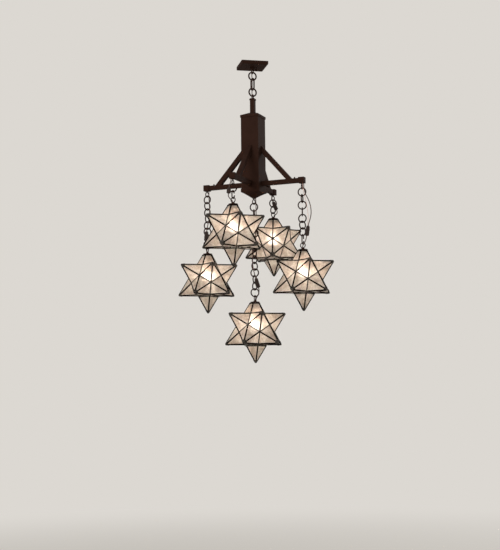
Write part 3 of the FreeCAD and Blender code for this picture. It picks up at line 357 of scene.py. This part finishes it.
def lit_bulb():
    """A frosted candelabra lamp that is on: a warm white glow in the globe, which dims and
    turns amber towards the neck, so that the top of the star stays dusky."""
    material, tree = new_material("frosted_bulb_glass_lit")
    place = add(tree, "ShaderNodeTexCoord").outputs["Generated"]
    height = add(tree, "ShaderNodeSeparateXYZ", {"Vector": place})
    neck = add(tree, "ShaderNodeMapRange", {
        "Value": height.outputs["Z"], "From Min": 0.3, "From Max": 0.72})
    colour = add(tree, "ShaderNodeMix", {
        "Factor": neck.outputs["Result"], "A": linear("fff1e2"), "B": linear("6b4c33")},
        data_type="RGBA")
    surface = add(tree, "ShaderNodeBsdfPrincipled", {
        "Base Color": linear("f6f1e8"), "Roughness": 0.35,
        "Emission Color": colour.outputs["Result"], "Emission Strength": 31.0})
    add(tree, "ShaderNodeOutputMaterial", {"Surface": surface.outputs["BSDF"]})
    return material


def rolled_brass():
    """The bulb's screw base: thin rolled brass, yellow and bright on the crests."""
    material, tree = new_material("rolled_brass")
    place = add(tree, "ShaderNodeTexCoord").outputs["Object"]
    stain = add(tree, "ShaderNodeTexNoise", {
        "Vector": place, "Scale": per_metre(5), "Detail": 3.0})
    colour = add(tree, "ShaderNodeMix", {
        "Factor": stain.outputs["Fac"], "A": linear("a07c3c"), "B": linear("cfae6a")},
        data_type="RGBA")
    surface = add(tree, "ShaderNodeBsdfPrincipled", {
        "Base Color": colour.outputs["Result"], "Roughness": 0.3, "Metallic": 1.0})
    add(tree, "ShaderNodeOutputMaterial", {"Surface": surface.outputs["BSDF"]})
    return material


def brown_cord():
    """Brown PVC flex: dark, with a redder cast here and there, a soft shine and faint scuffs."""
    material, tree = new_material("brown_pvc_flex")
    place = add(tree, "ShaderNodeTexCoord").outputs["Object"]
    scuffs = add(tree, "ShaderNodeTexNoise", {
        "Vector": place, "Scale": per_metre(7), "Detail": 4.0})
    colour = add(tree, "ShaderNodeMix", {
        "Factor": scuffs.outputs["Fac"], "A": linear("2e1a13"), "B": linear("55301f")},
        data_type="RGBA")
    sheen = add(tree, "ShaderNodeMapRange", {
        "Value": scuffs.outputs["Fac"], "To Min": 0.32, "To Max": 0.5})
    surface = add(tree, "ShaderNodeBsdfPrincipled", {
        "Base Color": colour.outputs["Result"], "Roughness": sheen.outputs["Result"]})
    add(tree, "ShaderNodeOutputMaterial", {"Surface": surface.outputs["BSDF"]})
    return material


def friction_tape():
    """Brown cloth tape wound round the joints: dull, with darker patches and a fine weave, which
    is drawn about twice as coarse as it is, so that it shows."""
    material, tree = new_material("brown_friction_tape")
    place = add(tree, "ShaderNodeTexCoord").outputs["Object"]
    grime = add(tree, "ShaderNodeTexNoise", {
        "Vector": place, "Scale": per_metre(6), "Detail": 5.0})
    colour = add(tree, "ShaderNodeMix", {
        "Factor": grime.outputs["Fac"], "A": linear("1c120f"), "B": linear("3d2a23")},
        data_type="RGBA")
    weave = add(tree, "ShaderNodeTexVoronoi", {"Vector": place, "Scale": per_metre(1.2)})
    bump = add(tree, "ShaderNodeBump", {
        "Height": weave.outputs["Distance"], "Strength": 0.4, "Distance": 0.3 * MM})
    surface = add(tree, "ShaderNodeBsdfPrincipled", {
        "Base Color": colour.outputs["Result"], "Roughness": 0.78,
        "Normal": bump.outputs["Normal"]})
    add(tree, "ShaderNodeOutputMaterial", {"Surface": surface.outputs["BSDF"]})
    return material


def bare_copper():
    """The bare earth wire: drawn copper, pink where it is clean and browner where it has been
    handled."""
    material, tree = new_material("drawn_copper")
    place = add(tree, "ShaderNodeTexCoord").outputs["Object"]
    tarnish = add(tree, "ShaderNodeTexNoise", {
        "Vector": place, "Scale": per_metre(8), "Detail": 3.0})
    colour = add(tree, "ShaderNodeMix", {
        "Factor": tarnish.outputs["Fac"], "A": linear("a8624a"), "B": linear("dca48c")},
        data_type="RGBA")
    surface = add(tree, "ShaderNodeBsdfPrincipled", {
        "Base Color": colour.outputs["Result"], "Roughness": 0.32, "Metallic": 0.9})
    add(tree, "ShaderNodeOutputMaterial", {"Surface": surface.outputs["BSDF"]})
    return material


# Studio

def studio_floor():
    """A wide pale floor well below the stars. Further out it fades into the backdrop's colour."""
    mesh = bmesh.new()
    bmesh.ops.create_circle(mesh, cap_ends=True, segments=96, radius=FLOOR_RADIUS * MM)
    data = bpy.data.meshes.new("studio_floor")
    mesh.to_mesh(data)
    mesh.free()
    floor = bpy.data.objects.new("studio_floor", data)
    bpy.context.scene.collection.objects.link(floor)
    floor.location.z = FLOOR_Z * MM
    material, tree = new_material("pale_matt_floor")
    place = add(tree, "ShaderNodeTexCoord").outputs["Object"]
    reach = add(tree, "ShaderNodeVectorMath", {0: place}, operation="LENGTH")
    fade = add(tree, "ShaderNodeMapRange", {
        "Value": reach.outputs["Value"], "From Min": FADE_START * MM, "From Max": FADE_END * MM},
        interpolation_type="SMOOTHSTEP")
    seen_directly = add(tree, "ShaderNodeLightPath")
    far_off = add(tree, "ShaderNodeMath", {
        0: fade.outputs["Result"], 1: seen_directly.outputs["Is Camera Ray"]},
        operation="MULTIPLY")
    matt = add(tree, "ShaderNodeBsdfDiffuse", {"Color": linear("eeebe6")})
    backdrop = add(tree, "ShaderNodeEmission", {"Color": linear(BACKDROP)})
    surface = add(tree, "ShaderNodeMixShader", {
        0: far_off.outputs["Value"], 1: matt.outputs[0], 2: backdrop.outputs[0]})
    add(tree, "ShaderNodeOutputMaterial", {"Surface": surface.outputs[0]})
    data.materials.append(material)


def studio_light():
    """An even pale surround, with one large soft lamp in front on the left and a weaker one
    behind on the right. The surround lights the object at its own strength, while the camera,
    the shines and what is seen through the glass meet the backdrop's colour."""
    world = bpy.data.worlds.new("studio")
    bpy.context.scene.world = world
    world.use_nodes = True
    tree = world.node_tree
    tree.nodes.clear()
    path = add(tree, "ShaderNodeLightPath")
    shown = add(tree, "ShaderNodeMath", {
        0: path.outputs["Is Camera Ray"], 1: path.outputs["Is Transmission Ray"]},
        operation="MAXIMUM")
    seen_there = add(tree, "ShaderNodeMath", {
        0: shown.outputs["Value"], 1: path.outputs["Is Glossy Ray"]}, operation="MAXIMUM")
    surround = add(tree, "ShaderNodeBackground", {"Color": linear("f4f1ec"), "Strength": 0.55})
    backdrop = add(tree, "ShaderNodeBackground", {"Color": linear(BACKDROP)})
    mixed = add(tree, "ShaderNodeMixShader", {
        0: seen_there.outputs["Value"], 1: surround.outputs[0], 2: backdrop.outputs[0]})
    add(tree, "ShaderNodeOutputWorld", {"Surface": mixed.outputs[0]})
    for name, (place, width, power) in LAMPS.items():
        light = bpy.data.lights.new(name, "AREA")
        light.shape = "DISK"
        light.size = width * MM
        light.energy = power
        lamp = bpy.data.objects.new(name, light)
        bpy.context.scene.collection.objects.link(lamp)
        lamp.location = seen(*place) * MM
        aim = Vector((0, 0, LAMPS_AIM_Z * MM)) - lamp.location
        lamp.rotation_euler = aim.to_track_quat("-Z", "Y").to_euler()


def studio_camera():
    """The camera at the photograph's angle: panned, pitched and then rolled from level."""
    right, away, up = polar(1, VIEW_TURN), polar(1, VIEW_TURN + 90), Vector((0, 0, 1))
    heading = away * math.cos(CAMERA_PAN) + right * math.sin(CAMERA_PAN)
    side = right * math.cos(CAMERA_PAN) - away * math.sin(CAMERA_PAN)
    forward = heading * math.cos(CAMERA_PITCH) + up * math.sin(CAMERA_PITCH)
    above = side.cross(forward)
    across = side * math.cos(CAMERA_ROLL) + above * math.sin(CAMERA_ROLL)
    above = above * math.cos(CAMERA_ROLL) - side * math.sin(CAMERA_ROLL)
    data = bpy.data.cameras.new("camera")
    data.lens = CAMERA_LENS
    data.clip_end = CAMERA_REACH * MM
    camera = bpy.data.objects.new("camera", data)
    bpy.context.scene.collection.objects.link(camera)
    turn = Matrix((across, above, -forward)).transposed().to_4x4()
    place = -away * CAMERA_DISTANCE * MM + up * CAMERA_HEIGHT * MM
    camera.matrix_world = Matrix.Translation(place) @ turn
    bpy.context.scene.camera = camera


# Pieces

def new_piece(name, mesh, material, body):
    """A smooth piece from a bmesh in the part's own frame, in metres."""
    data = bpy.data.meshes.new(name)
    mesh.to_mesh(data)
    mesh.free()
    data.shade_smooth()
    data.materials.append(material)
    piece = bpy.data.objects.new(name, data)
    bpy.context.scene.collection.objects.link(piece)
    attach(piece, body)
    return piece


def loft(rings):
    """A bmesh of a closed skin over rings of points, from one end to the other."""
    mesh = bmesh.new()
    rows = [[mesh.verts.new(point) for point in row] for row in rings]
    for lower, upper in zip(rows, rows[1:]):
        for k in range(len(lower)):
            mesh.faces.new((lower[k - 1], lower[k], upper[k], upper[k - 1]))
    mesh.faces.new(rows[0])
    mesh.faces.new(rows[-1][::-1])
    bmesh.ops.recalc_face_normals(mesh, faces=mesh.faces)
    return mesh


def lathe(profile, centre, segments):
    """Rings of points round a vertical axis for a profile of (radius, height) pairs in
    millimetres."""
    return [[(Vector(centre) + polar(radius, 360 * k / segments, z)) * MM
             for k in range(segments)] for radius, z in profile]


def ease(share, start):
    """Rises from start, at a share of 0, along a quarter sine wave to 1, at a share of 1."""
    return start + (1 - start) * math.sin(min(share, 1.0) * math.pi / 2)


def lay_cord(name, points, radius, material, body):
    """A cord along a smooth curve, from its route's points in millimetres."""
    curve = bpy.data.curves.new(name, "CURVE")
    curve.dimensions = "3D"
    curve.bevel_depth = radius * MM
    curve.bevel_resolution = 5
    curve.resolution_u = 10
    curve.use_fill_caps = True
    spline = curve.splines.new("NURBS")
    spline.points.add(len(points) - 1)
    for knot, point in zip(spline.points, points):
        knot.co = (*(point * MM), 1.0)
    spline.order_u = 3
    spline.use_endpoint_u = True
    curve.materials.append(material)
    cord = bpy.data.objects.new(name, curve)
    bpy.context.scene.collection.objects.link(cord)
    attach(cord, body)
    return cord


def tape_splice(name, upper, lower, material, body):
    """The taped joint in a star's cord: flat and lumpy, thinner at the top, with the tape wound
    round it in a slow spiral."""
    tape_width, tape_step, bare_end = 11.0, 0.5, 1.0
    lump_size, lump_spacing, lump_spread, lump_room, flat_lump = 0.9, 9.0, 5, 1.0, 0.6
    taper, end_share, top_share, full_at = 5.0, 0.3, 0.74, 0.6
    around, rows = 40, 80
    along = lower - upper
    length = along.length
    along.normalize()
    wide = along.cross(seen(0, 1, 0)).normalized()
    deep = along.cross(wide)
    rings = []
    for row in range(rows + 1):
        down = length * row / rows
        end = min(down, length - down)
        swell = ease(end / taper, end_share) * ease(down / length / full_at, top_share)
        at = upper + along * down
        ring = []
        for k in range(around):
            angle = 2 * math.pi * k / around
            x, y = math.cos(angle), math.sin(angle)
            wound = 1 - (down / tape_width + k / around) % 1.0
            step = tape_step * wound if end > bare_end else 0.0
            beside = at + (wide * x + deep * y) * lump_spread
            lump = lump_size * noise.noise(beside / lump_spacing)
            corner = (abs(x) ** 3 + abs(y) ** 3) ** (-1 / 3)
            half_wide = ((SPLICE_HALF_WIDTH - lump_room) * swell + step + lump) * corner
            half_deep = ((SPLICE_HALF_DEPTH - lump_room) * swell + step
                         + lump * flat_lump) * corner
            ring.append((at + wide * half_wide * x + deep * half_deep * y) * MM)
        rings.append(ring)
    return new_piece(name, loft(rings), material, body)


def star_bulb(name, centre, glass, brass):
    """A small globe lamp, base up in the lampholder: its neck widens in a smooth curve into the
    round, and its screw base ends in a small contact."""
    body = f"{name}_star"
    core_r, neck_r = BULB_BASE_RADIUS - 0.4, BULB_BASE_RADIUS - 0.2

    # The glass, from inside the base down over the neck and round the globe
    tucked_z, neck_z = SOCKET_BOTTOM + 1.0, SOCKET_BOTTOM - 3.5
    globe_z = SOCKET_BOTTOM - BULB_LENGTH + BULB_RADIUS
    shoulder, pole_gap = math.radians(48), 0.03
    neck_steps, globe_steps = 9, 14
    shoulder_r = BULB_RADIUS * math.cos(shoulder)
    shoulder_z = globe_z + BULB_RADIUS * math.sin(shoulder)
    profile = [(core_r, tucked_z), (neck_r, neck_z)]
    for k in range(1, neck_steps):
        t = k / neck_steps
        blend = t * t * (3 - 2 * t)
        profile.append((neck_r + (shoulder_r - neck_r) * blend,
                        neck_z + (shoulder_z - neck_z) * t))
    for k in range(globe_steps):
        angle = shoulder - (shoulder + math.pi / 2 - pole_gap) * k / (globe_steps - 1)
        profile.append((BULB_RADIUS * math.cos(angle), globe_z + BULB_RADIUS * math.sin(angle)))
    mesh = loft(lathe(profile, centre, segments=40))
    bulb = new_piece(f"{name}_bulb_glass", mesh, glass, body)
    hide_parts(f"{name}_bulb")

    # The base, from the contact down over the thread to its rim
    contact_z = SOCKET_BOTTOM + BULB_BASE_LENGTH
    contact_r, contact_edge_r, contact_height = 1.6, 4.6, 1.2
    thread_z, thread_length, rim_z = contact_z - 2.4, BULB_BASE_LENGTH - 4.4, SOCKET_BOTTOM + 0.6
    crest, turns, turn_steps = 0.35, 5, 6
    steps = turns * turn_steps
    profile = [(contact_r, contact_z), (contact_edge_r, contact_z - contact_height)]
    for k in range(steps + 1):
        profile.append((core_r + crest * math.cos(2 * math.pi * k / turn_steps),
                        thread_z - thread_length * k / steps))
    profile.append((neck_r, rim_z))
    mesh = loft(lathe(profile, centre, segments=32))
    new_piece(f"{name}_bulb_base", mesh, brass, body)


def star_cord(name, star, materials):
    """A star's cord, from under its arm down past the chain, through its taped joint and into
    the star's collar. Where the route has an earth wire, that ends in the taped joint."""
    route = ROUTES[name]
    axis = Vector((star["centre"][0], star["centre"][1], 0))
    arms = axis + Vector((0, 0, ARM_Z))
    start_z = (COVER_FOOT if name == "centre" else ARM_FACE) - CORD_START_GAP
    end_z = star["centre"][2] + STAR_COLLAR_TOP + CORD_START_GAP
    upper, lower = (seen(*place) + arms for place in route["splice"])
    along = (lower - upper).normalized()
    points = [seen(*route["leave"], start_z) + axis,
              seen(*route["leave"], start_z - CORD_LEAVE) + axis]
    points += [seen(*place) + arms for place in route["above"]]
    points += [upper - along * SPLICE_LEAD, upper, lower, lower + along * SPLICE_LEAD]
    points += [seen(*place) + arms for place in route["below"]]
    turn = math.radians(star["loop"])
    beside = CORD_ENTER_OFFSET * math.sin(turn), CORD_ENTER_OFFSET * math.cos(turn)
    points += [seen(*beside, end_z + CORD_ENTER) + axis, seen(*beside, end_z) + axis]
    body = f"{name}_chain"
    cord = lay_cord(f"{name}_star_cord", points, CORD_RADIUS, materials["cord"], body)
    splice = tape_splice(f"{name}_cord_splice", upper, lower, materials["tape"], body)
    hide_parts(f"{name}_cord")
    if "earth" in route:
        across = along.cross(seen(0, 1, 0)).normalized()
        end = upper + across * EARTH_WIRE_OFFSET
        points = [seen(*route["earth_leave"], start_z) + axis,
                  seen(*route["earth_leave"], start_z - CORD_LEAVE) + axis]
        points += [seen(*place) + arms for place in route["earth"]]
        points += [end - along * SPLICE_LEAD, end]
        wire = lay_cord(f"{name}_earth_wire", points, EARTH_WIRE_RADIUS, materials["copper"], body)


def supply_cord(material):
    """The cord from the ceiling loop's collar down past the three rings to the stem's collar."""
    route = ROUTES["supply"]
    start_z = COLLAR_FOOT - CORD_START_GAP
    points = [seen(*route["leave"], start_z), seen(*route["leave"], start_z - CORD_LEAVE)]
    points += [seen(*place) for place in route["above"]]
    points.append(seen(*route["enter"], STEM_COLLAR_TOP + CORD_START_GAP))
    cord = lay_cord("supply_flex", points, CORD_RADIUS, material, "middle_link")
    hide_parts("supply_cord")


def finish_nodes(materials):
    """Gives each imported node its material, which follows from its name."""
    for name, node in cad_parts.items():
        star = name.split("_")[0]
        if name.endswith("_came"):
            finish = materials["came"][star]
        elif name.endswith("_glass"):
            finish = materials["glass"]
        elif name == "mounting_strap":
            finish = materials["zinc"]
        else:
            finish = materials["bronze"]
        node.data.materials.clear()
        node.data.materials.append(finish)


def main():
    studio_camera()
    studio_light()
    studio_floor()
    materials = {
        "bronze": bronze_paint(), "zinc": zinc_plate(), "glass": wispy_glass(),
        "bulb": lit_bulb(), "brass": rolled_brass(), "cord": brown_cord(),
        "tape": friction_tape(), "copper": bare_copper(),
        "came": {name: patinated_came(name, star["centre"]) for name, star in STARS.items()},
    }
    finish_nodes(materials)
    supply_cord(materials["cord"])
    for name, star in STARS.items():
        star_cord(name, star, materials)
        star_bulb(name, star["centre"], materials["bulb"], materials["brass"])
    bpy.context.scene.view_settings.view_transform = "Standard"


main()
